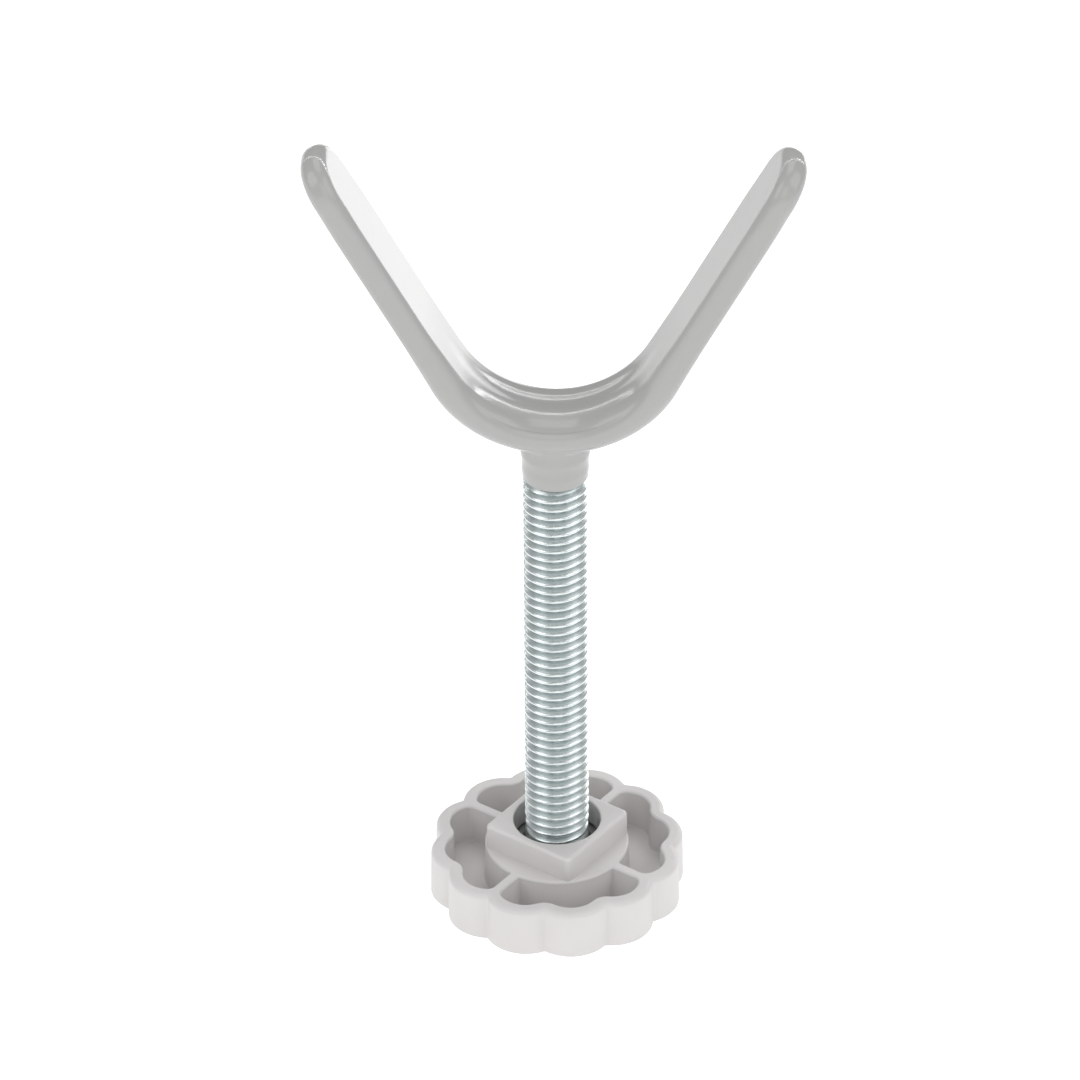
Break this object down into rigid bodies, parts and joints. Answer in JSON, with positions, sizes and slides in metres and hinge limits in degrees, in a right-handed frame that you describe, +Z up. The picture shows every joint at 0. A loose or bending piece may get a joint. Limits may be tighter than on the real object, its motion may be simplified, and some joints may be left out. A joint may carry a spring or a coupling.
{
  "type": "fork stand",
  "caption": "Free-standing cradle: a coated steel fork on a threaded rod that screws up and down in a scalloped hand wheel, which is also its foot.",
  "frame": {"origin": "on the floor, under the middle of the hand wheel, on the rod's axis", "axes": "+Z up the rod, X across the fork from arm to arm, Y along the width of the fork's bar"},
  "size_m": [0.0736, 0.0388, 0.1316],
  "materials": {
    "bare_steel": "plain rolled bar, hidden under the coat",
    "glossy_coat": "thick glossy light grey dip coat",
    "zinc_plate": "bright zinc plate with a slight blue cast",
    "bush_metal": "plain turned steel",
    "moulded_plastic": "satin light grey moulding"
  },
  "bodies": {
    "fork": {"fork_core": "bare_steel", "fork_coating": "glossy_coat", "threaded_rod": "zinc_plate"},
    "bush": {"thread_bush": "bush_metal"},
    "wheel": {"hand_wheel": "moulded_plastic"}
  },
  "joints": [
    {"name": "wheel_travel", "type": "slide", "parent": "fork", "child": "bush", "axis": [0, 0, 1], "range_m": [-0.003, 0.063]},
    {"name": "wheel_spin", "type": "hinge", "parent": "bush", "child": "wheel", "pos_m": [0, 0, 0.005], "axis": [0, 0, 1], "range_deg": [-720, 15120]}
  ],
  "couplings": [
    {"joint": "wheel_travel", "follows": "wheel_spin", "m_per_rad": 0.00023873}
  ]
}
